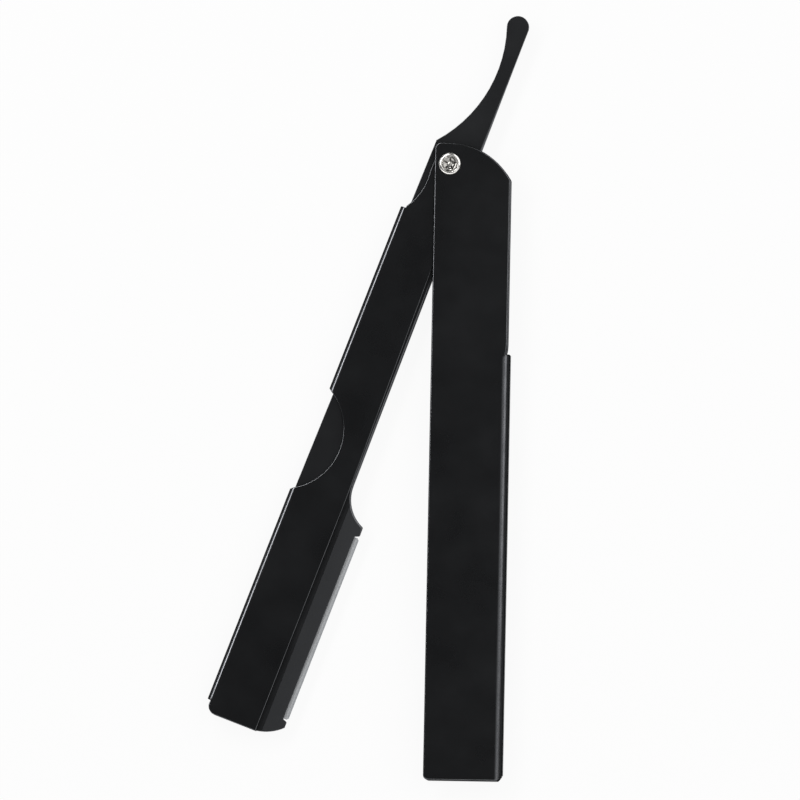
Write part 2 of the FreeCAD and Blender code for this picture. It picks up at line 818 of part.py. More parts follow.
rivet = new_body("pivot_rivet")
revolve(rivet, "rivet_turned", outline_sketch(rivet, "rivet_profile", "XZ_Plane", rivet_profile()))
slit_half = d.slit_width / 2
slit_reach = d.flare_radius + d.overrun
slit_outline = [
    line_to(zero, -slit_half),
    line_to(slit_reach, -slit_half),
    line_to(slit_reach, slit_half),
    line_to(zero, slit_half),
]
slit_sketch = outline_sketch(rivet, "slit_outline", "XY_Plane", slit_outline, handle_depth + d.slit_depth)
slit = pocket_along(rivet, "slit", slit_sketch, d.petal_height + d.overrun)
petals = rivet.newObject("PartDesign::PolarPattern", "petals")
petals.Originals = [slit]
petals.Axis = (slit_sketch, ["N_Axis"])
petals.Angle = 360
petals.Occurrences = PETALS
rivet.Tip = petals
doc.recompute()


# Rivet ring: bright raised washer that the petals are clinched into

def ring_profile():
    base = handle_depth
    flare = d.flare_radius + d.running_gap
    top = base + d.ring_height
    return [
        line_to(running_radius, base),
        line_to(d.ring_radius, base),
        line_to(d.ring_radius, top - d.ring_round),
        left_turn(d.ring_radius - d.ring_round, top, d.ring_round),
        line_to(d.ring_bore_top, top),
        line_to(flare, base + d.flare_height),
    ]


ring = new_body("rivet_ring")
revolve(ring, "ring_turned", outline_sketch(ring, "ring_profile", "XZ_Plane", ring_profile()))

# Check every object and write each piece

doc.recompute()
faults = [item.Name for item in doc.Objects if "Invalid" in item.State or "Error" in item.State]
if faults:
    raise RuntimeError(f"objects that failed: {faults}")
pieces = [
    handle,
    rear_washer,
    front_washer,
    sleeve,
    tang,
    clamp,
    leaf_rivets,
    blade,
    rivet,
    ring,
]
os.makedirs("parts", exist_ok=True)
for piece in pieces:
    shape = piece.Shape
    if shape.isNull() or not shape.isValid():
        raise RuntimeError(f"{piece.Label} has no sound shape")
    box = shape.BoundBox
    shape.exportStep(f"parts/{piece.Label}.step")
    print(
        f"{piece.Label}: {len(shape.Solids)} solid(s), {shape.Volume:.1f} mm3,",
        f"{box.XLength:.2f} x {box.YLength:.2f} x {box.ZLength:.2f} mm",
    )
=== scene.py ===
# %% [markdown]
# # A straight razor for replaceable blades
# The razor lies on its back, partly open. Its handle and the sleeve on its arm are black coated sheet steel,
# folded like a channel, and a bright rivet joins them.
# The CAD model already has every piece at its real size and place. Here the sheets that show are built again
# with softly rounded edges, because light on those edges is most of what the eye sees of a black object.

# %% Load the fixed frame
import bmesh
import bpy
import math
from mathutils import Matrix, Vector


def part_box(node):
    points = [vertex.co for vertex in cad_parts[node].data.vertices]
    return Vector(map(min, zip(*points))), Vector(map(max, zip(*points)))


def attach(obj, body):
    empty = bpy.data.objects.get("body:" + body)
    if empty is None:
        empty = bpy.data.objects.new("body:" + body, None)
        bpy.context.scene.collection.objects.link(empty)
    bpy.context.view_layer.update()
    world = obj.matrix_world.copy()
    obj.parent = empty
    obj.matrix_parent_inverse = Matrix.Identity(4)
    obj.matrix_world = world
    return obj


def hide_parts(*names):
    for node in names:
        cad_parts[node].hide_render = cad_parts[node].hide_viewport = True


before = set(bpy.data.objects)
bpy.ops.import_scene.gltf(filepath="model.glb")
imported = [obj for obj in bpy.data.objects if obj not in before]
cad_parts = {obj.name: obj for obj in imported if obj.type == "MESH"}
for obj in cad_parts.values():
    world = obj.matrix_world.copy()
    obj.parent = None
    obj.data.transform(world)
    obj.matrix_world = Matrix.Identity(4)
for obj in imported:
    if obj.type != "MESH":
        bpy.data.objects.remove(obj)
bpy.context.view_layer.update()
print("CAD nodes:", sorted(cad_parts))

# %% [markdown]
# ## Sizes
# Lengths are in millimetres, because that is how a toolmaker thinks of them. A piece is scaled to metres once,
# when it is done. X runs across the handle towards its fold, Y from the foot to the pivot, and Z towards the
# viewer, with zero on the pivot's axis at the razor's back.
# The arm is drawn as when the razor is shut, in line with the handle, and is then turned open. Its far end is the
# toe, and from the taper on its plates narrow towards the pivot.

# %% Sizes that several pieces share
MM = 0.001
TINY = 1e-4
OPEN_ANGLE = math.radians(20.36)
HANDLE_BACK, HANDLE_FRONT = 0.0, 5.9
TOE, TAPER = -132.16, -77.46


def in_mm(lengths):
    """Metres as rounded millimetres, for printing."""
    return [round(length / MM, 2) for length in lengths]


# %% [markdown]
# ## Drawing an outline
# A stamped sheet is an outline of straight sides and arcs. Its points could be worked out and typed in, but a
# drawn outline stays easy to change. A vertex is set down at the end of each straight side, and is spun round a
# centre for each arc, as a compass does, so Blender makes the points of the arc.

# %% A compass and ruler for closed outlines
ARC_STEP = math.radians(5)
FEWEST_ARC_STEPS = 4


def trace(bm, steps):
    """Closed face. (x, y) ends a straight side; (x, y, radius) ends an arc, which bends right if negative."""
    first = bmesh.ops.create_vert(bm, co=(*steps[-1][:2], 0))["vert"][0]
    last = first
    for x, y, *bend in steps:
        target = Vector((x, y, 0))
        if bend:
            chord = target - last.co
            aside = Vector((-chord.y, chord.x, 0)).normalized() * math.copysign(1, bend[0])
            half = math.asin(min(1, chord.length / 2 / abs(bend[0])))
            centre = (target + last.co) / 2 + aside * abs(bend[0]) * math.cos(half)
            angle = math.copysign(2 * half, bend[0])
            count = max(FEWEST_ARC_STEPS, math.ceil(2 * half / ARC_STEP))
            spun = bmesh.ops.spin(bm, geom=[last], cent=centre, axis=(0, 0, 1), angle=angle, steps=count)
            last = [item for item in spun["geom_last"] if isinstance(item, bmesh.types.BMVert)][0]
            last.co = target
        else:
            corner = bmesh.ops.create_vert(bm, co=target)["vert"][0]
            bm.edges.new((last, corner))
            last = corner
    bmesh.ops.remove_doubles(bm, verts=[first, last], dist=TINY)
    bmesh.ops.contextual_create(bm, geom=bm.edges[:])
    bmesh.ops.recalc_face_normals(bm, faces=bm.faces[:])
    if bm.faces[0].normal.z < 0:
        bmesh.ops.reverse_faces(bm, faces=bm.faces[:])


trial = bmesh.new()
trace(trial, [(0, 0), (10, 0), (10, 5, 2.5), (0, 5)])
print("trial outline:", len(trial.verts), "vertices, area", round(sum(f.calc_area() for f in trial.faces), 2), "mm2")
trial.free()

# %% [markdown]
# ## Cuts on the flat sheet
# Cuts across the face give the bends their rows of edges. A round hole wants even faces round it, or its rounded
# rim would pinch. So a square window is cut round its centre and inset by a hair, the inner outline is pressed
# onto the circle, and the middle is knocked out. The inset gives each point of the circle its own partner on the
# window, where joining two separate outlines could pair them crosswise.

# %% Knife cuts and round holes
HOLE_POINTS = 48


def score(bm, axis, places, within=None):
    """Cut edges square to an axis, across the whole sheet or only the faces for which within(face) holds."""
    normal = Vector((1, 0, 0)) if axis == "X" else Vector((0, 1, 0))
    for place in places:
        faces = [face for face in bm.faces if within is None or within(face)]
        geom = {item for face in faces for item in (face, *face.edges, *face.verts)}
        bmesh.ops.bisect_plane(bm, geom=list(geom), dist=TINY, plane_co=normal * place, plane_no=normal)


def bore(bm, centre, radius, window):
    """Round hole. The window is half the width of the square that is cut round it."""
    middle = Vector((*centre, 0))

    def away(face):
        return face.calc_center_median() - middle

    def inside(face):
        return max(abs(away(face).x), abs(away(face).y)) < window

    score(bm, "Y", (middle.y - window, middle.y + window))
    score(bm, "X", (middle.x - window, middle.x + window), lambda face: abs(away(face).y) < window)
    plug = next(face for face in bm.faces if inside(face))
    bmesh.ops.subdivide_edges(bm, edges=plug.edges[:], cuts=HOLE_POINTS // len(plug.edges) - 1)
    plug = next(face for face in bm.faces if inside(face))
    bmesh.ops.inset_individual(bm, faces=[plug], thickness=TINY)
    for vert in plug.verts:
        vert.co = middle + (vert.co - middle).normalized() * radius
    bmesh.ops.delete(bm, geom=[plug], context="FACES")


trial = bmesh.new()
trace(trial, [(5, -5), (5, 5), (-5, 5), (-5, -5)])
bore(trial, (0, 0), 2, 3)
print("trial hole:", len(trial.faces), "faces left, area", round(sum(f.calc_area() for f in trial.faces), 2), "mm2")
trial.free()

# %% [markdown]
# ## From outline to sheet
# A sheet gets its thickness after it is folded, so the metal is equally thick round the bends. Then its rims are
# rounded, because a stamped edge that has been tumbled and coated is never sharp, and the rounding is what catches
# the light. A Bevel modifier could round them too, but the operator can give each edge a radius of its own.

# %% Thickness and rounded rims
SHARP = math.radians(50)


def thicken(bm, thickness):
    """Give the sheet its metal, on the side away from its normals."""
    bmesh.ops.recalc_face_normals(bm, faces=bm.faces[:])
    front = max(bm.faces, key=lambda face: face.calc_center_median().z)
    if front.normal.z < 0:
        bmesh.ops.reverse_faces(bm, faces=bm.faces[:])
    bmesh.ops.solidify(bm, geom=bm.faces[:], thickness=thickness)
    bmesh.ops.recalc_face_normals(bm, faces=bm.faces[:])


def round_rims(bm, radius, segments=3, where=None):
    """Round every sharp edge, or only those for which where(edge) holds."""
    edges = [edge for edge in bm.edges if edge.is_manifold and edge.calc_face_angle() > SHARP]
    if where:
        edges = [edge for edge in edges if where(edge)]
    bmesh.ops.bevel(
        bm, geom=edges, offset=radius, offset_type="OFFSET", affect="EDGES",
        segments=segments, profile=0.5, material=-1, clamp_overlap=False,
    )
    print("rounded", len(edges), "edges to", radius, "mm")


# %% [markdown]
# ## The finished object
# Each new piece stands for a CAD node: it rides on the same body and is hidden or shown with it. Its object stays
# at the origin, with its place in its mesh, so a pattern drawn in object coordinates never slides.
# Weighted normals keep the wide faces of a sheet flat while its narrow rounded rims shade smoothly. A turned piece
# is round all over and doesn't need them.

# %% Turn, scale and hand over
def open_arm(bm):
    """Turn a piece of the arm from its shut place to the one in the photograph."""
    bmesh.ops.rotate(bm, verts=bm.verts[:], cent=(0, 0, 0), matrix=Matrix.Rotation(-OPEN_ANGLE, 3, "Z"))


def finish_piece(bm, name, body, node, material, flat_faces=True):
    """Scale to metres and make the object that stands for a CAD node."""
    bmesh.ops.scale(bm, vec=(MM, MM, MM), verts=bm.verts[:])
    for face in bm.faces:
        face.smooth = True
    mesh = bpy.data.meshes.new(name)
    bm.to_mesh(mesh)
    bm.free()
    mesh.materials.append(material)
    piece = bpy.data.objects.new(name, mesh)
    bpy.context.scene.collection.objects.link(piece)
    if flat_faces:
        weighted = piece.modifiers.new("flat faces", "WEIGHTED_NORMAL")
        weighted.keep_sharp = True
    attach(piece, body)
    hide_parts(node)
    low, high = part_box(node)
    wanted = [top - bottom for bottom, top in zip(low, high)]
    made = [max(v.co[i] for v in mesh.vertices) - min(v.co[i] for v in mesh.vertices) for i in range(3)]
    print(name, "has", len(mesh.polygons), "faces and measures", in_mm(made), "mm, its CAD node", in_mm(wanted), "mm")


print("the arm is", round(math.degrees(OPEN_ANGLE), 2), "degrees open")

# %% [markdown]
# ## Materials
# The colours are picked in sRGB, as in a paint program, and turned to the linear values that the shader needs.
# One small function adds a node, sets its values and joins its inputs.

# %% Colour and node helpers
def linear(hex_colour):
    """sRGB hex to linear RGBA."""
    channels = [int(hex_colour[i:i + 2], 16) / 255 for i in (1, 3, 5)]
    return (*[c / 12.92 if c <= 0.04045 else ((c + 0.055) / 1.055) ** 2.4 for c in channels], 1.0)


def socket(node, key):
    """Input by number or name. A colour mix has its sockets A and B several times, and the colour ones are meant."""
    if key in ("A", "B") and node.bl_idname == "ShaderNodeMix":
        return next(item for item in node.inputs if item.name == key and item.type == "RGBA")
    return node.inputs[key]


def add_node(tree, kind, inputs=None, **settings):
    """New node. Settings are attributes, or names of inputs with _ for spaces.
    The dictionary of inputs joins each one to another node's output, or gives it a value."""
    node = tree.nodes.new(kind)
    for key, value in settings.items():
        if hasattr(node, key):
            setattr(node, key, value)
        else:
            socket(node, key.replace("_", " ")).default_value = value
    for key, source in (inputs or {}).items():
        if isinstance(source, bpy.types.NodeSocket):
            tree.links.new(source, socket(node, key))
        else:
            socket(node, key).default_value = source
    return node


print("mid grey #808080 is", round(linear("#808080")[0], 3), "in linear light")

# %% [markdown]
# Every material of the razor starts alike: an empty tree with a shader, its output, and the object coordinates
# that the patterns are drawn in. A pattern's scale is given by the real width of what it shows.

# %% An empty material and a scale in millimetres
def new_material(name):
    """Node material with its shader, and the object coordinates."""
    material = bpy.data.materials.new(name)
    material.use_nodes = True
    tree = material.node_tree
    tree.nodes.clear()
    shader = add_node(tree, "ShaderNodeBsdfPrincipled", Metallic=1.0)
    add_node(tree, "ShaderNodeOutputMaterial", {"Surface": shader.outputs["BSDF"]})
    place = add_node(tree, "ShaderNodeTexCoord").outputs["Object"]
    return material, tree, shader, place


def per_mm(size):
    """Texture scale whose features are about this many millimetres wide."""
    return 1 / (size * MM)


print("a grain of 0.12 mm needs a scale of", round(per_mm(0.12)))

# %% [markdown]
# ### Black coating on blasted steel
# The handle, sleeve and tang are steel, blasted to a fine grain and coated black in a vacuum. The coating is only
# a few thousandths of a millimetre thick and mirrors like a very dark metal: it shows a lamp as a soft bright line,
# and at a glancing angle it brightens a little but stays dark. A painted plastic would be grey on every flat face.
# Handling polishes the crests of folds and rims and lightens them. The upright sides get a colour of their own, which
# is painted light and shade: a painted shade on the folded sheet and a painted sheen on the tang.
# How far the surface faces up tells these places apart: fully, or 1, on a flat face, and 0 on an upright side.

# %% Where the sheet is flat, a crest or a side
CREST_STARTS, CREST_FULL = 0.99, 0.94
SIDE_ENDS, FACE_STARTS = 0.7, 0.85


def tilt_masks(tree, wear):
    """A mask of the crests that reaches the wear given, and one that is 0 on the sides and 1 above them."""
    normal = add_node(tree, "ShaderNodeTexCoord").outputs["Normal"]
    up = add_node(tree, "ShaderNodeSeparateXYZ", {"Vector": normal}).outputs["Z"]
    level = add_node(tree, "ShaderNodeMath", {0: up}, operation="ABSOLUTE").outputs[0]
    crest = add_node(
        tree, "ShaderNodeMapRange", {"Value": level},
        interpolation_type="SMOOTHSTEP", From_Min=CREST_STARTS, From_Max=CREST_FULL, To_Min=0.0, To_Max=wear,
    ).outputs["Result"]
    above_side = add_node(
        tree, "ShaderNodeMapRange", {"Value": level},
        interpolation_type="SMOOTHSTEP", From_Min=SIDE_ENDS, From_Max=FACE_STARTS,
    ).outputs["Result"]
    crest = add_node(tree, "ShaderNodeMath", {0: crest, 1: above_side}, operation="MULTIPLY").outputs[0]
    return crest, above_side


print("a crest starts", round(math.degrees(math.acos(CREST_STARTS))), "degrees off flat")

# %% [markdown]
# The shade and gloss of the coating drift slowly over the sheet, because blasting by hand is never quite even. The
# rubbed crests are lighter and glossier, and not the same everywhere. A fine grain breaks up the image of the lamps.
# Flat colours would be simpler, but a black without these changes looks like a hole in the picture.

# %% Black coating
PATCH_WIDTH, RUB_WIDTH = 11, 5
BLAST_GRAIN, BLAST_DEPTH = 0.12, 0.0015  # real blast grain is 0.03 mm wide, drawn coarser so that it shows
GLOSSIER, DULLER, RUB_POLISH = 0.02, 0.03, -0.08
NOISE_LOW, NOISE_HIGH = 0.3, 0.7  # most of a noise texture lies between these


def black_coating(name, dark, light, worn, side, glancing, roughness, wear):
    """Dark metal. Worn is the shade of rubbed crests, side a painted colour of upright sides that stands in for their
    light and shade, glancing that of grazing light.
    """
    material, tree, shader, place = new_material(name)
    patches = add_node(
        tree, "ShaderNodeTexNoise", {"Vector": place}, Scale=per_mm(PATCH_WIDTH), Detail=4.0,
    ).outputs["Fac"]
    face = add_node(tree, "ShaderNodeMix", {"Factor": patches, "A": linear(dark), "B": linear(light)}, data_type="RGBA")
    crest, above_side = tilt_masks(tree, wear)
    rubs = add_node(tree, "ShaderNodeTexNoise", {"Vector": place}, Scale=per_mm(RUB_WIDTH), Detail=3.0).outputs["Fac"]
    rubbed = add_node(
        tree, "ShaderNodeMapRange", {"Value": rubs}, From_Min=0.35, From_Max=0.6, To_Min=0.7, To_Max=1.0,
    ).outputs["Result"]
    rim = add_node(tree, "ShaderNodeMath", {0: crest, 1: rubbed}, operation="MULTIPLY").outputs[0]
    # Painted light and shade: upright sides take the side colour in place of the light that reaches them.
    shade = add_node(
        tree, "ShaderNodeMix", {"Factor": above_side, "A": linear(side), "B": face.outputs[2]}, data_type="RGBA",
    )
    shade = add_node(tree, "ShaderNodeMix", {"Factor": rim, "A": shade.outputs[2], "B": linear(worn)}, data_type="RGBA")
    gloss = add_node(
        tree, "ShaderNodeMapRange", {"Value": patches},
        From_Min=NOISE_LOW, From_Max=NOISE_HIGH, To_Min=roughness - GLOSSIER, To_Max=roughness + DULLER,
    ).outputs["Result"]
    gloss = add_node(tree, "ShaderNodeMath", {0: rim, 1: RUB_POLISH, 2: gloss}, operation="MULTIPLY_ADD")
    grain = add_node(
        tree, "ShaderNodeTexNoise", {"Vector": place}, Scale=per_mm(BLAST_GRAIN), Detail=2.0,
    ).outputs["Fac"]
    bump = add_node(tree, "ShaderNodeBump", {"Height": grain}, Strength=0.3, Distance=BLAST_DEPTH * MM)
    tree.links.new(shade.outputs[2], shader.inputs["Base Color"])
    tree.links.new(gloss.outputs[0], shader.inputs["Roughness"])
    tree.links.new(bump.outputs["Normal"], shader.inputs["Normal"])
    shader.inputs["Specular Tint"].default_value = linear(glancing)
    return material


# %% [markdown]
# The folded sheet is smooth from the rolling mill, so its coating is a little glossier and its lines are sharper. The
# tang was ground first, and the fine scratches make it a touch duller and lighter. The upright sides are painted:
# darker as painted shade on the folded sheet, lighter as a painted sheen on the tang.

# %% The two coated steels
coating = black_coating(
    "black vacuum coating on folded sheet",
    # side is painted shade, darker than the faces
    dark="#3b3c3e", light="#424345", worn="#6e6f72", side="#2a2b2c", glancing="#989898", roughness=0.28, wear=1.0,
)
arm_coating = black_coating(
    "black vacuum coating on ground plate",
    # side is a painted sheen, lighter than the faces
    dark="#3e3f41", light="#454648", worn="#77787b", side="#6a6b6e", glancing="#b8b8b8", roughness=0.32, wear=0.7,
)
print("coatings:", coating.name, "and", arm_coating.name)

# %% [markdown]
# ### Ground blade steel, nickel and brass
# The blade is rolled stainless strip, hard and grey, and fine grinding lines across it spread each highlight.
# The rivet and ring are nickel plated and polished, so they mostly show what is round them.
# The washers are plain rolled brass sheet, warm and a little streaky, and hardly show.
# All three are bare metals, so one function serves them. Its Mapping node stretches the grain along X, nearly
# straight across the blade, and a round grain has one size both ways. The node turns after it has stretched, so the
# turn changes which bit of the grain is seen and not how it lies.

# %% Bare metals
GRAIN_DEPTH = 0.004


def bare_metal(name, colour, roughness, spread, grain_width, grain_length):
    """Metal whose grain, in mm, lies along X and varies the roughness by the spread."""
    material, tree, shader, place = new_material(name)
    stretched = add_node(
        tree, "ShaderNodeMapping", {"Vector": place}, Rotation=(0, 0, OPEN_ANGLE),
        Scale=(per_mm(grain_length), per_mm(grain_width), per_mm(grain_width)),
    ).outputs["Vector"]
    grain = add_node(tree, "ShaderNodeTexNoise", {"Vector": stretched}, Scale=1.0, Detail=4.0).outputs["Fac"]
    gloss = add_node(
        tree, "ShaderNodeMapRange", {"Value": grain},
        From_Min=NOISE_LOW, From_Max=NOISE_HIGH, To_Min=roughness - spread, To_Max=roughness + spread,
    )
    bump = add_node(tree, "ShaderNodeBump", {"Height": grain}, Strength=0.5, Distance=GRAIN_DEPTH * MM)
    tree.links.new(gloss.outputs["Result"], shader.inputs["Roughness"])
    tree.links.new(bump.outputs["Normal"], shader.inputs["Normal"])
    shader.inputs["Base Color"].default_value = linear(colour)
    return material


# Real grinding lines are about 0.02 mm wide. They are drawn as coarse as 0.12 mm, so that they show.
blade_steel = bare_metal(
    "ground stainless blade steel", "#dcdee0", roughness=0.48, spread=0.06, grain_width=0.12, grain_length=1.5,
)
nickel = bare_metal(
    "polished nickel plate", "#edebe7", roughness=0.2, spread=0.05, grain_width=0.2, grain_length=0.2,
)
brass = bare_metal(
    "rolled brass sheet", "#c9a45c", roughness=0.35, spread=0.06, grain_width=0.1, grain_length=3.0,
)
print("metals:", blade_steel.name + ",", nickel.name, "and", brass.name)

# %% [markdown]
# ### Painted reflection on the blade, painted shade in the rivet
# The last 0.7 mm of the blade is its ground edge, which leans away. The darker part of the room that it would mirror is
# painted into its colour as a painted reflection.
# Inside the ring the nickel's colour is blended a little darker towards the axis. The splits between the rivet's petals
# are painted nearly black, as painted shade for the dark hollow of the tube below them. Each is a darker colour that is
# blended in by distance or by depth.
# For the blade, a Mapping node first turns the place back to where the arm is drawn, so that X is straight across it.

# %% The blade's ground edge, with its painted reflection
GRIND_STARTS, GRIND_FULL = 10.8, 11.5


def paint_darker(material, share, dark):
    """Blend the base colour towards a darker shade, by a share from 0 to 1."""
    tree = material.node_tree
    shader = next(node for node in tree.nodes if node.bl_idname == "ShaderNodeBsdfPrincipled")
    base = shader.inputs["Base Color"]
    clean = base.links[0].from_socket if base.is_linked else tuple(base.default_value)
    shade = add_node(tree, "ShaderNodeMix", {"Factor": share, "A": clean, "B": linear(dark)}, data_type="RGBA")
    tree.links.new(shade.outputs[2], base)


tree = blade_steel.node_tree
place = add_node(tree, "ShaderNodeTexCoord").outputs["Object"]
turned = add_node(tree, "ShaderNodeMapping", {"Vector": place}, Rotation=(0, 0, OPEN_ANGLE)).outputs["Vector"]
across = add_node(tree, "ShaderNodeSeparateXYZ", {"Vector": turned}).outputs["X"]
# Painted reflection: across the arm, the ground edge's colour is blended darker, for the darker room it would mirror.
ground = add_node(
    tree, "ShaderNodeMapRange", {"Value": across}, From_Min=GRIND_STARTS * MM, From_Max=GRIND_FULL * MM,
)
paint_darker(blade_steel, ground.outputs["Result"], "#b4b7bb")
print("ground edge darkens over", round(GRIND_FULL - GRIND_STARTS, 2), "mm")

# %% The darker bowl and the painted shade in the splits
BOWL_BRIGHT, BOWL_DARKEST = 1.75, 1.55
SPLIT_REACH, SPLIT_TOP, SPLIT_BOTTOM = 1.6, HANDLE_FRONT, HANDLE_FRONT - 0.18
tree = nickel.node_tree
place = add_node(tree, "ShaderNodeTexCoord").outputs["Object"]
level = add_node(tree, "ShaderNodeMapping", {"Vector": place}, Scale=(1, 1, 0)).outputs["Vector"]
away = add_node(tree, "ShaderNodeVectorMath", {0: level}, operation="LENGTH").outputs["Value"]
# The nickel inside the ring is blended darker towards the axis.
bowl = add_node(
    tree, "ShaderNodeMapRange", {"Value": away}, From_Min=BOWL_BRIGHT * MM, From_Max=BOWL_DARKEST * MM,
)
paint_darker(nickel, bowl.outputs["Result"], "#a9a7a3")
# Painted shade: near the axis the nickel is blended nearly black by depth, so the splits look dark.
near = add_node(tree, "ShaderNodeMath", {0: away, 1: SPLIT_REACH * MM}, operation="LESS_THAN").outputs[0]
height = add_node(tree, "ShaderNodeSeparateXYZ", {"Vector": place}).outputs["Z"]
deep = add_node(
    tree, "ShaderNodeMapRange", {"Value": height}, From_Min=SPLIT_TOP * MM, From_Max=SPLIT_BOTTOM * MM,
).outputs["Result"]
split = add_node(tree, "ShaderNodeMath", {0: near, 1: deep}, operation="MULTIPLY")
paint_darker(nickel, split.outputs[0], "#1c1b1a")
print("nickel is dull within", BOWL_DARKEST, "mm of the pivot's axis and has", len(tree.nodes), "nodes")

# %% [markdown]
# ## The handle
# One blank of 1 mm sheet is folded twice into a channel. It is drawn flat: half of the blank up to the middle of the
# spine, mirrored for the other plate. Beside the pivot the blank is narrower, so the spine is open there.
# Each bend is made as on a press brake, a few degrees at a time, which keeps the sheet's length true. A channel could
# be extruded instead, but a blank is what the real handle starts from, and it takes holes and cuts while it is flat.

# %% Fold a flat blank
def mirror_blank(bm, middle):
    """Add the other half of a blank that is drawn up to its middle line."""
    bmesh.ops.translate(bm, vec=(-middle, 0, 0), verts=bm.verts[:])
    bmesh.ops.mirror(bm, geom=bm.verts[:] + bm.edges[:] + bm.faces[:], axis="X", merge_dist=TINY)
    bmesh.ops.translate(bm, vec=(middle, 0, 0), verts=bm.verts[:])
    bmesh.ops.recalc_face_normals(bm, faces=bm.faces[:])
    print("blank is", round(max(v.co.x for v in bm.verts) - min(v.co.x for v in bm.verts), 2), "mm wide")


def bend_columns(start, radius, steps):
    """Places on the flat blank where a quarter bend turns, and the length that it takes."""
    chord = 2 * radius * math.sin(math.pi / 4 / steps)
    return [start + chord * k for k in range(steps + 1)], chord * steps


def fold(bm, columns, side, station):
    """Turn what lies beyond each column, the furthest first. Side is 1 for a fold towards +X and -1 for -X.
    The columns are those of two bends, and station tells each vertex's place on the flat blank."""
    steps = len(columns) // 2 - 1
    full = math.pi / 2 / steps
    for number, column in reversed(list(enumerate(columns))):
        share = 0.5 if number % (steps + 1) in (0, steps) else 1.0
        beyond = [vert for vert in bm.verts if (station[vert] - column) * side > TINY]
        turn = Matrix.Rotation(full * share * side, 3, "Y")
        bmesh.ops.rotate(bm, verts=beyond, cent=(column, 0, 0), matrix=turn)


# %% Where the handle bends
BEND, BEND_STEPS = 1.8, 10
SPINE_SIDE = 14.1
FLAT_END = SPINE_SIDE - BEND
first_bend, quarter = bend_columns(FLAT_END, BEND, BEND_STEPS)
spine_flat = HANDLE_FRONT - HANDLE_BACK - 2 * BEND
handle_middle = FLAT_END + quarter + spine_flat / 2
second_bend, _ = bend_columns(FLAT_END + quarter + spine_flat, BEND, BEND_STEPS)
print("bends start at", round(first_bend[0], 2), "and", round(second_bend[0], 2), "mm on the flat blank")

# %% [markdown]
# The corners at the ends of the fold lie exactly on bend columns. A corner between two columns would be split by
# the bend, and the rounded rim would throw a spike there. Where the trimmed side meets the head, a small arc eases
# the corner. It touches the head's large arc from inside, so its end lies on the line through both centres.

# %% The handle's blank
OPEN_SIDE = -3.35
HEAD, FOOT = 4.7, -136.09
SPINE_TOP, SPINE_FOOT = -41.9, FOOT + 1.1
FOOT_CORNER, HEAD_CORNER = 1.1, 1.4
SHOULDER, SHOULDER_ARC, SHOULDER_EASE = -0.3, 15.8, 1.0
FLARE_RISE = 2.5
TRIMMED_FOOT, TRIMMED = first_bend[3], first_bend[4]
foot_bevel = first_bend[3], first_bend[8]
flare = TRIMMED - TRIMMED_FOOT
flare_arc = (flare ** 2 + FLARE_RISE ** 2) / 2 / flare
ease_x = TRIMMED - SHOULDER_EASE
ease_reach = SHOULDER_ARC - SHOULDER_EASE
ease_y = HEAD - SHOULDER_ARC + math.sqrt(ease_reach ** 2 - (ease_x - SHOULDER) ** 2)
ease_share = SHOULDER_ARC / ease_reach
ease_end = (
    SHOULDER + (ease_x - SHOULDER) * ease_share,
    HEAD - SHOULDER_ARC + (ease_y - HEAD + SHOULDER_ARC) * ease_share,
)
handle = bmesh.new()
trace(handle, [
    (OPEN_SIDE, FOOT + FOOT_CORNER),
    (OPEN_SIDE + FOOT_CORNER, FOOT, FOOT_CORNER),
    (foot_bevel[0], FOOT),
    (foot_bevel[1], SPINE_FOOT),
    (handle_middle, SPINE_FOOT),
    (handle_middle, SPINE_TOP),
    (TRIMMED_FOOT, SPINE_TOP),
    (TRIMMED, SPINE_TOP + FLARE_RISE, flare_arc),
    (TRIMMED, ease_y),
    (*ease_end, SHOULDER_EASE),
    (SHOULDER, HEAD, SHOULDER_ARC),
    (OPEN_SIDE + HEAD_CORNER, HEAD),
    (OPEN_SIDE, HEAD - HEAD_CORNER, HEAD_CORNER),
])
mirror_blank(handle, handle_middle)

# %% [markdown]
# The rivet's hole goes through both plates, wider at the back for the flat head. Above the spine the plates stay
# flat, also where they reach past the first columns, so their vertices are put before or behind the whole bend.
# Rows of cuts below the spine's top keep the rounding of its corners from running down the fold.

# %% Punch and fold the handle
HANDLE_SHEET, HANDLE_RIM = 1.0, 0.3
FRONT_HOLE, BACK_HOLE, HANDLE_WINDOW = 1.52, 2.52, 3.0
CORNER_ROWS = (0.0, 0.6, 1.3)
PAST_BEND = 1.0
bore(handle, (0, 0), FRONT_HOLE, HANDLE_WINDOW)
bore(handle, (2 * handle_middle, 0), BACK_HOLE, HANDLE_WINDOW)
score(handle, "Y", [SPINE_TOP - row for row in CORNER_ROWS])
score(handle, "X", first_bend + second_bend, lambda face: face.calc_center_median().y < SPINE_TOP)
station = {}
for vert in handle.verts:
    x, y = vert.co.x, vert.co.y
    station[vert] = x
    flat_side = TRIMMED if y > SPINE_TOP + TINY else TRIMMED_FOOT
    if y > SPINE_TOP - TINY and x < flat_side + TINY:
        station[vert] = min(x, FLAT_END)
    if y > SPINE_TOP - TINY and x > 2 * handle_middle - flat_side - TINY:
        station[vert] = max(x, second_bend[-1] + PAST_BEND)
fold(handle, first_bend + second_bend, 1, station)
bmesh.ops.translate(handle, vec=(0, 0, HANDLE_FRONT), verts=handle.verts[:])
thicken(handle, HANDLE_SHEET)
round_rims(handle, HANDLE_RIM)
finish_piece(handle, "folded_handle", "handle", "handle_channel", coating)

# %% [markdown]
# ## The sleeve
# The sleeve is folded from 0.7 mm sheet, towards the other side. Two round cuts go through its fold: one clears the
# pivot and one lets the thumb reach the arm. The pivot's cut is an arc on each plate that ends with a small square
# relief where the fold begins. The thumb's cut is an arc on each plate too, and short sides lead it over the fold.

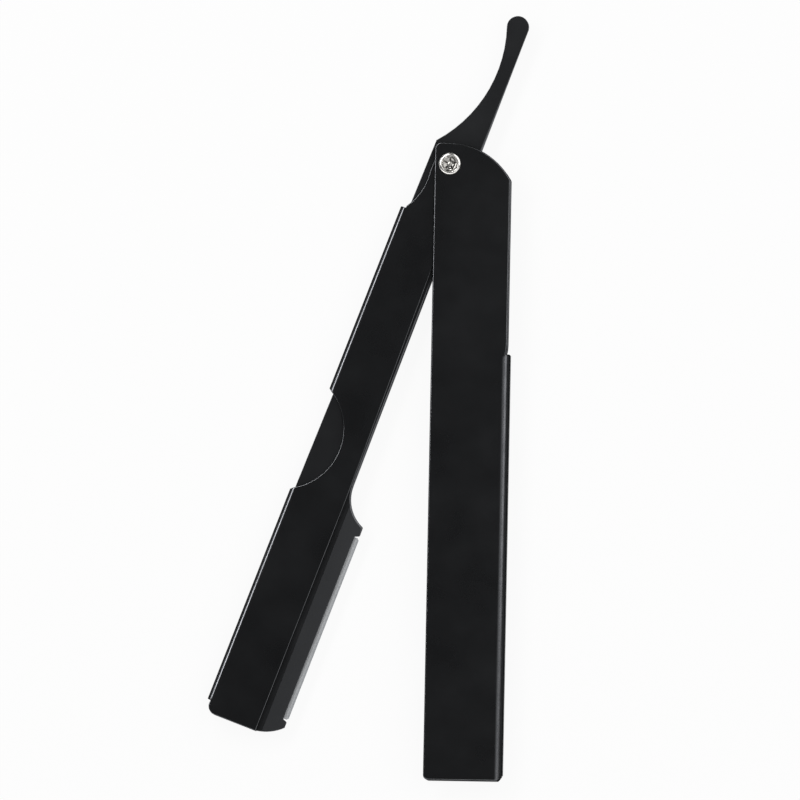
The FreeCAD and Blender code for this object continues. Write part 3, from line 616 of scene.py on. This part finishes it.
# %% The sleeve's fold and its round cuts
SLEEVE_BACK, SLEEVE_FRONT = 1.25, 4.65
SLEEVE_BEND, SLEEVE_STEPS = 1.2, 8
SLEEVE_SIDE = -6.82
SLEEVE_FLAT = SLEEVE_SIDE + SLEEVE_BEND
THUMB_NOTCH, THUMB_RADIUS = (-13.03, -67.7), 13.3
PIVOT_NOTCH, PIVOT_RADIUS = (-16.47, -4.9), 13.0
columns, sleeve_quarter = bend_columns(0, SLEEVE_BEND, SLEEVE_STEPS)
sleeve_wall = SLEEVE_FRONT - SLEEVE_BACK - 2 * SLEEVE_BEND
outer_bend = [SLEEVE_FLAT - place for place in columns]
inner_bend = [place - sleeve_quarter - sleeve_wall for place in outer_bend]
sleeve_middle = SLEEVE_FLAT - sleeve_quarter - sleeve_wall / 2


def cut_reach(notch, radius, x):
    """How far above and below its centre a round cut crosses a line along the arm."""
    return math.sqrt(radius ** 2 - (x - notch[0]) ** 2)


thumb_plate = cut_reach(THUMB_NOTCH, THUMB_RADIUS, SLEEVE_FLAT)
thumb_wall = cut_reach(THUMB_NOTCH, THUMB_RADIUS, SLEEVE_SIDE)
print("thumb notch is", round(2 * thumb_plate, 1), "mm long on the plate and", round(2 * thumb_wall, 1), "on the fold")

# %% The sleeve's blank
FOLD_STOP, FOLD_RELIEF = TOE + 2.75, 0.45
END_SIDE, EDGE_AT_PIVOT, EDGE_AT_TOE = -3.6, 4.32, 5.75
SLEEVE_CORNER = 2.1
THUMB_CORNER_SHARE = 0.7
TOE_LEFT = outer_bend[2]
end_radius = (EDGE_AT_PIVOT - END_SIDE) / 2
thumb_corner = SLEEVE_FLAT - sleeve_quarter * THUMB_CORNER_SHARE
pivot_top = PIVOT_NOTCH[1] + cut_reach(PIVOT_NOTCH, PIVOT_RADIUS, END_SIDE)
pivot_low = PIVOT_NOTCH[1] - cut_reach(PIVOT_NOTCH, PIVOT_RADIUS, SLEEVE_FLAT)
sleeve = bmesh.new()
trace(sleeve, [
    (sleeve_middle, FOLD_STOP),
    (TOE_LEFT, FOLD_STOP),
    (TOE_LEFT, TOE + SLEEVE_CORNER),
    (TOE_LEFT + SLEEVE_CORNER, TOE, SLEEVE_CORNER),
    (EDGE_AT_TOE, TOE),
    (EDGE_AT_TOE, TAPER),
    (EDGE_AT_PIVOT, 0),
    (EDGE_AT_PIVOT - end_radius, end_radius, end_radius),
    (END_SIDE, 0, end_radius),
    (END_SIDE, pivot_top),
    (SLEEVE_FLAT, pivot_low, -PIVOT_RADIUS),
    (SLEEVE_FLAT, pivot_low - FOLD_RELIEF),
    (sleeve_middle, pivot_low - FOLD_RELIEF),
    (sleeve_middle, THUMB_NOTCH[1] + thumb_wall),
    (thumb_corner, THUMB_NOTCH[1] + thumb_wall),
    (SLEEVE_FLAT, THUMB_NOTCH[1] + thumb_plate),
    (SLEEVE_FLAT, THUMB_NOTCH[1] - thumb_plate, -THUMB_RADIUS),
    (thumb_corner, THUMB_NOTCH[1] - thumb_wall),
    (sleeve_middle, THUMB_NOTCH[1] - thumb_wall),
])
mirror_blank(sleeve, sleeve_middle)

# %% [markdown]
# The sleeve's toe isn't folded. Below the fold's stop both plates stay flat, as the handle's do beside the pivot, and
# they reach only as far as the bend's third column. The small step that this leaves shows at the toe's left corner.

# %% Punch and fold the sleeve
SLEEVE_SHEET, SLEEVE_RIM = 0.7, 0.2
ARM_HOLE, ARM_WINDOW = 1.55, 2.2
TOE_ROW = 0.5
bore(sleeve, (0, 0), ARM_HOLE, ARM_WINDOW)
bore(sleeve, (2 * sleeve_middle, 0), ARM_HOLE, ARM_WINDOW)
score(sleeve, "Y", (FOLD_STOP, FOLD_STOP + TOE_ROW))
score(sleeve, "X", outer_bend + inner_bend, lambda face: face.calc_center_median().y > FOLD_STOP)
station = {}
for vert in sleeve.verts:
    x, y = vert.co.x, vert.co.y
    station[vert] = x
    if y < FOLD_STOP + TINY and x > TOE_LEFT - TINY:
        station[vert] = max(x, SLEEVE_FLAT)
    if y < FOLD_STOP + TINY and x < 2 * sleeve_middle - TOE_LEFT + TINY:
        station[vert] = min(x, inner_bend[-1] - PAST_BEND)
fold(sleeve, outer_bend + inner_bend, -1, station)
bmesh.ops.translate(sleeve, vec=(0, 0, SLEEVE_FRONT), verts=sleeve.verts[:])
thicken(sleeve, SLEEVE_SHEET)
round_rims(sleeve, SLEEVE_RIM)
open_arm(sleeve)
finish_piece(sleeve, "folded_sleeve", "sleeve", "blade_sleeve", coating)

# %% [markdown]
# ## The tang plate
# The arm's front leaf is one thick plate: the thumb rest curls at its top, and its lip covers the blade between two
# nubs. The plate's outline is drawn once and made thick, and then the lip is ground to a shallow slope by lowering
# the part of the face that lies outside the sleeve. Two arcs that touch share a point on the line through their
# centres, and that is how the ends of the thumb rest's tip and of the heel's corner are found.

# %% The thumb rest, the heel and the nubs
HEEL = -73.96
HEEL_SIDE, HEEL_RADIUS = 6.08, 8.4
TIP, TIP_RADIUS = (2.79, 33.7), 2.44
CURL, CURL_END = (-27.2, 23.0), 3.9
NUB_SIDE, NUB_ROUND, NUB_STEP, NUB_CORNER = 11.36, 0.5, 0.4, 0.35
LIP_ROOT, LIP_SIDE = 7.0, 10.36
LIP_TOP, LIP_END = -84.26, -127.46
tip_x, tip_y = TIP[0] - CURL[0], TIP[1] - CURL[1]
curl_radius = math.hypot(tip_x, tip_y) - TIP_RADIUS
tip_share = curl_radius / (curl_radius + TIP_RADIUS)
shoulder_x = CURL[0] + math.sqrt(curl_radius ** 2 - (CURL[1] - CURL_END) ** 2)
heel_x, nub_x = HEEL_SIDE + HEEL_RADIUS, NUB_SIDE - NUB_ROUND
nub_y = HEEL - math.sqrt((HEEL_RADIUS + NUB_ROUND) ** 2 - (heel_x - nub_x) ** 2)
heel_share = HEEL_RADIUS / (HEEL_RADIUS + NUB_ROUND)
stand = NUB_SIDE - LIP_SIDE
slant = math.hypot(stand, NUB_STEP)
trim = NUB_CORNER * (slant - NUB_STEP) / stand
trim_x, trim_y = trim * stand / slant, trim * NUB_STEP / slant
print("thumb rest's hollow has a radius of", round(curl_radius, 2), "mm, and the nubs stand out", round(stand, 2), "mm")

# %% The tang's outline
TANG_INSET, TANG_CORNER = 0.96, 2.4
TANG_LEFT = SLEEVE_SIDE + TANG_INSET
TANG_BACK, TANG_FRONT = 2.65, 3.85
TOE_ARC_SIDE, TOE_ARC = 4.25, 10.0
LEAF_RIVETS, LEAF_HOLE = ((0.3, -12.0), (0.3, -24.0)), 1.42
toe_rise = TOE_ARC - math.sqrt(TOE_ARC ** 2 - (NUB_SIDE - TOE_ARC_SIDE) ** 2)
tang = bmesh.new()
trace(tang, [
    (TANG_LEFT, TOE + TANG_CORNER),
    (TANG_LEFT + TANG_CORNER, TOE, TANG_CORNER),
    (TOE_ARC_SIDE, TOE),
    (NUB_SIDE, TOE + toe_rise, TOE_ARC),
    (NUB_SIDE, LIP_END - NUB_STEP - trim),
    (NUB_SIDE - trim_x, LIP_END - NUB_STEP + trim_y, NUB_CORNER),
    (LIP_SIDE, LIP_END),
    (LIP_SIDE, LIP_TOP),
    (NUB_SIDE - trim_x, LIP_TOP + NUB_STEP - trim_y),
    (NUB_SIDE, LIP_TOP + NUB_STEP + trim, NUB_CORNER),
    (NUB_SIDE, nub_y),
    (heel_x + (nub_x - heel_x) * heel_share, HEEL + (nub_y - HEEL) * heel_share, NUB_ROUND),
    (HEEL_SIDE, HEEL, -HEEL_RADIUS),
    (TIP[0] + TIP_RADIUS, TIP[1]),
    (TIP[0], TIP[1] + TIP_RADIUS, TIP_RADIUS),
    (CURL[0] + tip_x * tip_share, CURL[1] + tip_y * tip_share, TIP_RADIUS),
    (shoulder_x, CURL_END, -curl_radius),
    (TANG_LEFT, TAPER),
])
bore(tang, (0, 0), ARM_HOLE, ARM_WINDOW)
for leaf_rivet in LEAF_RIVETS:
    bore(tang, leaf_rivet, LEAF_HOLE, ARM_WINDOW)
score(tang, "X", (LIP_ROOT,))
score(tang, "Y", (HEEL,))
bmesh.ops.translate(tang, vec=(0, 0, TANG_FRONT), verts=tang.verts[:])
thicken(tang, TANG_FRONT - TANG_BACK)
print("tang plate:", len(tang.faces), "faces before its rims are rounded")

# %% [markdown]
# The back and the heel's hollow are rounded most, because a finger rests there, and all other rims only break
# the sharp edge. The line where the ground lip begins is kept crisp by marking its edges sharp.

# %% Grind the lip and round the rims
LIP_FALL = 0.5
BACK_RIM, HEEL_RIM, FINE_RIM = 0.5, 0.4, 0.08
BACK_FROM, HEEL_FROM = 4.5, 5.5
CREASE_REACH, CREASE_BOTTOM = 0.15, TANG_BACK + 0.5
lip_slope = math.atan(LIP_FALL / (LIP_SIDE - LIP_ROOT))
for vert in tang.verts:
    if vert.co.z > TANG_FRONT - TINY and vert.co.x > LIP_ROOT + TINY and vert.co.y < HEEL + TINY:
        vert.co.z = TANG_FRONT - (vert.co.x - LIP_ROOT) * math.tan(lip_slope)


def midpoint(edge):
    """Middle of an edge."""
    return (edge.verts[0].co + edge.verts[1].co) / 2


def on_back(edge):
    """On the arm's long straight back, from the thumb rest's tip to the heel."""
    return midpoint(edge).x > BACK_FROM and HEEL < midpoint(edge).y < TIP[1]


def on_heel(edge):
    """On the hollow between the back and the first nub."""
    return midpoint(edge).x > HEEL_FROM and nub_y < midpoint(edge).y <= HEEL


def on_crease(vert):
    """Where the face meets the ground lip."""
    return abs(vert.co.x - LIP_ROOT) < CREASE_REACH and vert.co.z > CREASE_BOTTOM


round_rims(tang, BACK_RIM, segments=5, where=on_back)
round_rims(tang, HEEL_RIM, segments=4, where=on_heel)
round_rims(tang, FINE_RIM, segments=2)
for edge in tang.edges:
    if all(on_crease(vert) for vert in edge.verts):
        edge.smooth = False
print("lip has", sum(not edge.smooth for edge in tang.edges), "crease edges")
open_arm(tang)
finish_piece(tang, "tang", "tang", "tang_plate", arm_coating)

# %% [markdown]
# ## The rivet and its ring
# A tubular rivet is split at its end, and the petals are curled down into a bright ring. Both are turned pieces, so
# a flat profile is spun round the axis for each. The splits are then pressed into the rivet, which keeps it whole.

# %% Spin a profile
TURN_STEPS = 96


def turn_piece(profile):
    """Spin a profile of (radius, height) round the pivot's axis. The pole, if any, is closed by merging."""
    bm = bmesh.new()
    verts = [bmesh.ops.create_vert(bm, co=(radius, 0, height))["vert"][0] for radius, height in profile]
    for here, there in zip(verts, verts[1:]):
        bm.edges.new((here, there))
    bmesh.ops.spin(
        bm, geom=bm.verts[:] + bm.edges[:], cent=(0, 0, 0), axis=(0, 0, 1),
        angle=2 * math.pi, steps=TURN_STEPS, use_merge=True,
    )
    bmesh.ops.remove_doubles(bm, verts=bm.verts[:], dist=TINY)
    bmesh.ops.recalc_face_normals(bm, faces=bm.faces[:])
    return bm


# %% The ring
TOP = HANDLE_FRONT
RING_PROFILE = (
    (1.55, TOP), (2.41, TOP), (2.41, TOP + 0.18), (2.37, TOP + 0.28), (2.28, TOP + 0.35), (2.0, TOP + 0.5),
    (1.9, TOP + 0.52), (1.8, TOP + 0.47), (1.73, TOP + 0.37), (1.7, TOP + 0.28), (1.55, TOP),
)
ring = turn_piece(RING_PROFILE)
finish_piece(ring, "clinch_ring", "handle", "rivet_ring", nickel, flat_faces=False)

# %% The rivet and its petals
RIVET_PROFILE = (
    (0.0, 0.0), (2.4, 0.0), (2.5, 0.04), (2.5, 0.1), (1.5, 0.8), (1.5, TOP - 0.1), (1.58, TOP + 0.1),
    (1.66, TOP + 0.26), (1.68, TOP + 0.34), (1.62, TOP + 0.4), (1.5, TOP + 0.42), (1.34, TOP + 0.38),
    (1.16, TOP + 0.28), (0.98, TOP + 0.16), (0.8, TOP + 0.06), (0.6, TOP), (0.45, TOP + 0.02), (0.3, TOP + 0.1),
    (0.15, TOP + 0.17), (0.0, TOP + 0.19),
)
PETALS, PETAL_BEARING, PETAL_WARP = 5, 60, 0.05
PETAL_ROOT, PETAL_END, PETAL_EASE, PETAL_LIMIT = 0.45, 1.66, 0.3, 1.64
PETAL_FLOOR = TOP - 0.05
SPLIT_DEPTH, SPLIT_HALF_WIDTH = 0.45, 0.18
rivet = turn_piece(RIVET_PROFILE)
for vert in rivet.verts:
    radius = math.hypot(vert.co.x, vert.co.y)
    if vert.co.z > PETAL_FLOOR and PETAL_ROOT < radius < PETAL_LIMIT:
        bearing = math.degrees(math.atan2(vert.co.y, vert.co.x)) + PETAL_BEARING
        off_split = abs((bearing + 180 / PETALS) % (360 / PETALS) - 180 / PETALS) * math.radians(radius)
        from_root = min(1, (radius - PETAL_ROOT) / PETAL_EASE)
        from_end = min(1, (PETAL_END - radius) / PETAL_EASE)
        vert.co.z -= SPLIT_DEPTH * from_root * from_end * max(0, 1 - off_split / SPLIT_HALF_WIDTH)
        vert.co.z += PETAL_WARP * math.sin(2 * math.radians(bearing)) * from_root
finish_piece(rivet, "split_rivet", "handle", "pivot_rivet", nickel, flat_faces=False)

# %% [markdown]
# ## Pieces that keep their CAD shape
# The clamp leaf, the blade, the washers and the small rivets are plain shapes that are mostly hidden. Their CAD
# meshes are already right, so they only get their materials.

# %% Dress the CAD nodes
for name, material in (
    ("clamp_leaf", arm_coating),
    ("razor_blade", blade_steel),
    ("front_washer", brass),
    ("rear_washer", brass),
    ("leaf_rivets", nickel),
):
    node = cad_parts[name]
    node.data.materials.clear()
    node.data.materials.append(material)
    print(name, "gets", material.name)

# %% [markdown]
# ## The stage
# The razor lies on a plain white table. The camera, and every surface that mirrors the table, sees it almost pure
# white, as a studio sweep. A small part of its look is still the real lit surface, so a soft shadow stays. More light
# would whiten a plain table too, but it would wash out the black of the razor.

# %% The table's look
TABLE_GLOW = 0.92
table_white = bpy.data.materials.new("matt white table")
table_white.use_nodes = True
tree = table_white.node_tree
tree.nodes.clear()
rays = add_node(tree, "ShaderNodeLightPath").outputs
seen = add_node(tree, "ShaderNodeMath", {0: rays["Is Camera Ray"], 1: rays["Is Glossy Ray"]}, operation="MAXIMUM")
seen = add_node(tree, "ShaderNodeMath", {0: seen.outputs[0], 1: rays["Is Transmission Ray"]}, operation="MAXIMUM")
share = add_node(tree, "ShaderNodeMath", {0: seen.outputs[0], 1: TABLE_GLOW}, operation="MULTIPLY")
matt = add_node(tree, "ShaderNodeBsdfDiffuse", Color=linear("#eeeeee"))
glow = add_node(tree, "ShaderNodeEmission", Color=linear("#ffffff"), Strength=1.0)
surface = add_node(tree, "ShaderNodeMixShader", {0: share.outputs[0], 1: matt.outputs[0], 2: glow.outputs[0]})
add_node(tree, "ShaderNodeOutputMaterial", {"Surface": surface.outputs[0]})
print(table_white.name, "glows with", TABLE_GLOW, "of its look")

# %% The table
FLOOR_HALF = 10.0
FLOOR_GAP = 0.02 * MM
floor_shape = bmesh.new()
bmesh.ops.create_grid(floor_shape, x_segments=1, y_segments=1, size=FLOOR_HALF)
floor_mesh = bpy.data.meshes.new("table")
floor_shape.to_mesh(floor_mesh)
floor_shape.free()
floor_mesh.materials.append(table_white)
floor = bpy.data.objects.new("table", floor_mesh)
floor.location.z = -FLOOR_GAP
bpy.context.scene.collection.objects.link(floor)
print("table is", 2 * FLOOR_HALF, "m wide")

# %% [markdown]
# ## Light
# Five softboxes stand round the razor, four of them 36 to 51 degrees high and one near the top. A fold shows each
# as a bright line where its surface is tilted half way towards it, and the flat black faces mirror the dim ceiling,
# so they stay dark. The left softbox is narrow and bright, which gives the sleeve its sharp line. The right one is
# tall and softer, for the wide line on the handle. The low right one brightens the arm's back, the front one the
# rims that face the foot, and the top one the ground lip and the blade.

# %% Softboxes
CENTRE = Vector((-0.01, -0.05, 0.0))
REACH = 0.75


def softbox(name, azimuth, elevation, width, height, radiance, slide=0.0):
    """Area lamp of this radiance that faces the razor. Azimuth 0 is at -Y and 90 at +X; slide moves it along Y."""
    a, e = math.radians(azimuth), math.radians(elevation)
    way = Vector((math.sin(a) * math.cos(e), -math.cos(a) * math.cos(e), math.sin(e)))
    data = bpy.data.lights.new(name, "AREA")
    data.shape = "RECTANGLE"
    data.size, data.size_y = width, height
    data.energy = radiance * math.pi * width * height
    lamp = bpy.data.objects.new(name, data)
    bpy.context.scene.collection.objects.link(lamp)
    lamp.location = CENTRE + way * REACH + Vector((0, slide, 0))
    lamp.rotation_euler = way.to_track_quat("Z", "Y").to_euler()
    lamp.visible_camera = False
    solid_angle = width * height / REACH ** 2
    print(name, "adds", round(radiance * solid_angle * math.sin(e) / math.pi, 2), "to the light on the table")


softbox("right softbox", azimuth=115, elevation=36, width=1.0, height=0.5, radiance=1.5, slide=0.2)
softbox("low right softbox", azimuth=62, elevation=36, width=0.4, height=0.5, radiance=0.7)
softbox("left softbox", azimuth=-124, elevation=51, width=0.95, height=0.2, radiance=6.8, slide=0.18)
softbox("front softbox", azimuth=-10, elevation=36, width=1.8, height=0.3, radiance=1.4)
softbox("top softbox", azimuth=90, elevation=68, width=0.9, height=0.3, radiance=1.05)

# %% [markdown]
# The room round the lamps is bright along the horizon and dim above, as in a studio with white walls and a dark
# ceiling. The walls light the upright sides and the table, and the ceiling is what the flat faces mirror.

# %% World
HORIZON, CEILING, WALL_HEIGHT = 1.0, 0.11, 0.12
world = bpy.data.worlds.new("dim studio")
world.use_nodes = True
bpy.context.scene.world = world
tree = world.node_tree
tree.nodes.clear()
way = add_node(tree, "ShaderNodeTexCoord").outputs["Generated"]
rise = add_node(tree, "ShaderNodeSeparateXYZ", {"Vector": way}).outputs["Z"]
strength = add_node(
    tree, "ShaderNodeMapRange", {"Value": rise}, From_Min=0.0, From_Max=WALL_HEIGHT, To_Min=HORIZON, To_Max=CEILING,
).outputs["Result"]
sky = add_node(tree, "ShaderNodeBackground", {"Strength": strength}, Color=linear("#ffffff"))
add_node(tree, "ShaderNodeOutputWorld", {"Surface": sky.outputs[0]})
print("ceiling has", CEILING, "of the brightness of the walls")

# %% [markdown]
# ## Camera
# The photograph has almost no perspective, so the lens is long and the camera far away. It stands a little to the
# right of the razor and a little below it, and is turned by one degree.

# %% Camera
LENS, SENSOR = 800.0, 36.0
AIM = Vector((-10.0, -52.4, 5.9)) * MM
RIGHT_TILT, LOW_TILT, ROLL = math.radians(3.75), math.radians(3.26), math.radians(0.9)
VIEW_WIDTH = 176.46 * MM
back = Vector((math.tan(RIGHT_TILT), -math.tan(LOW_TILT), 1)).normalized()
right = Vector((math.cos(ROLL), math.sin(ROLL), 0))
right = (right - back * right.dot(back)).normalized()
up = back.cross(right)
camera_data = bpy.data.cameras.new("long lens")
camera_data.lens, camera_data.sensor_width = LENS, SENSOR
camera = bpy.data.objects.new("long lens", camera_data)
distance = VIEW_WIDTH * LENS / SENSOR
turn = Matrix((right, up, back)).transposed()
camera.matrix_world = Matrix.Translation(AIM + back * distance) @ turn.to_4x4()
bpy.context.scene.collection.objects.link(camera)
bpy.context.scene.camera = camera
bpy.context.scene.view_settings.view_transform = "Standard"
print("camera is", round(distance, 2), "m away")
